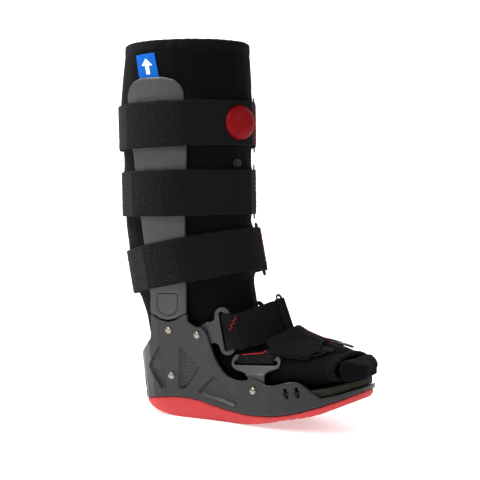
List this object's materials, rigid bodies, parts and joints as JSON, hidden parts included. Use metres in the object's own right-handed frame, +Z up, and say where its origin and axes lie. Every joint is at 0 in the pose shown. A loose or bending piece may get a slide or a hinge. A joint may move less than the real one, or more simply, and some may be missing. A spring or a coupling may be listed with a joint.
{
  "type": "medical walking boot",
  "caption": "Tall walking boot with a moulded rocker shell, side uprights, a padded liner, webbing straps on rings and an air pump bulb.",
  "frame": {"origin": "on the floor under the middle of the boot's box", "axes": "+X towards the toe, +Y towards the boot's far side, +Z up the leg"},
  "size_m": [0.322, 0.1512, 0.43],
  "materials": {
    "sole": "matt red rubber",
    "shell": "fine matt moulded plastic",
    "upright": "satin moulded plastic",
    "plate": "satin moulded plastic",
    "foam": "matt closed-cell foam",
    "liner": "padded knitted cloth",
    "binding": "ribbed edge binding",
    "loop": "brushed loop webbing",
    "hook": "smooth webbing",
    "wire": "black moulded plastic",
    "steel": "nickel-plated",
    "bulb": "soft red rubber",
    "tag": "woven blue tape with a white arrow"
  },
  "bodies": {
    "root": {"air_valve": "wire", "ankle_bracket_far": "plate", "ankle_bracket_near": "plate", "base_shell": "shell", "calf_ring_lower": "wire", "calf_ring_middle": "wire", "calf_ring_upper": "wire", "calf_strap_lower": "loop", "calf_strap_middle": "loop", "calf_strap_upper": "loop", "calf_tab_lower": "hook", "calf_tab_middle": "hook", "forefoot_bracket_far": "plate", "forefoot_bracket_near": "plate", "forefoot_keeper": "loop", "forefoot_ring": "wire", "forefoot_strap": "loop", "forefoot_tab": "hook", "insole": "foam", "instep_keeper": "loop", "instep_ring": "wire", "instep_strap": "loop", "instep_tab": "hook", "liner": "liner", "lock_button_far": "upright", "lock_button_near": "upright", "outsole": "sole", "pull_tag": "tag", "pump_bulb": "bulb", "pump_pouch": "hook", "rivet_ankle_far": "steel", "rivet_ankle_near": "steel", "rivet_forefoot_far": "steel", "rivet_forefoot_near": "steel", "rivet_heel_far": "steel", "rivet_heel_near": "steel", "rivet_upright_far": "steel", "rivet_upright_near": "steel", "toe_binding": "binding", "toe_flap": "liner", "top_binding": "binding", "upright_far": "upright", "upright_near": "upright"}
  },
  "joints": []
}
